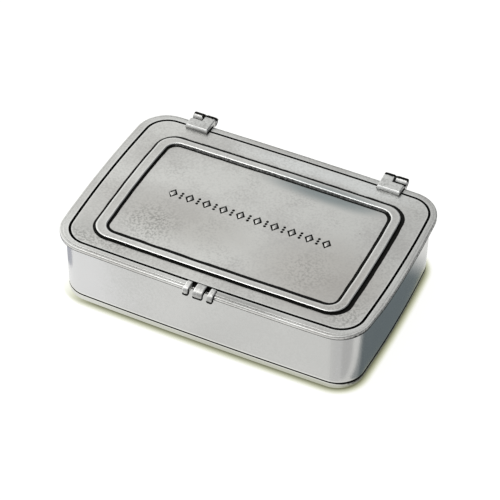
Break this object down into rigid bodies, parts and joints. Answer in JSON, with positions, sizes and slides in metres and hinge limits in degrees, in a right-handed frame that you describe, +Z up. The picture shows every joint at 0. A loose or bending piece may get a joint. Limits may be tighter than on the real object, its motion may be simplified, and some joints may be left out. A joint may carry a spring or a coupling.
{
  "type": "lidded metal box",
  "caption": "Low rectangular metal box with rounded corners, overhanging rim, flush lid with a raised frame, rear hinges and a front thumb catch.",
  "frame": {"origin": "centre of the flat face that the box rests on", "axes": "+Z up towards the lid, +X along the front edge, +Y from the front catch to the hinges"},
  "size_m": [0.11, 0.0792, 0.027],
  "materials": {
    "pewter_cast": "satin, lightly patinated cast pewter",
    "pewter_sheet": "satin, smooth pewter sheet",
    "pin_metal": "dull drawn wire"
  },
  "bodies": {
    "box": {"base_plate": "pewter_sheet", "wall_band": "pewter_sheet", "top_rim": "pewter_cast", "left_hinge_bracket": "pewter_cast", "right_hinge_bracket": "pewter_cast", "left_hinge_pin": "pin_metal", "right_hinge_pin": "pin_metal", "left_catch_lug": "pewter_cast", "right_catch_lug": "pewter_cast"},
    "lid": {"lid_plate": "pewter_cast", "left_lid_leaf": "pewter_cast", "right_lid_leaf": "pewter_cast", "catch_tongue": "pewter_cast"}
  },
  "joints": [
    {"name": "lid_hinge", "type": "hinge", "parent": "box", "child": "lid", "pos_m": [0, 0.03875, 0.0254], "axis": [-1, 0, 0], "range_deg": [0, 105]}
  ]
}
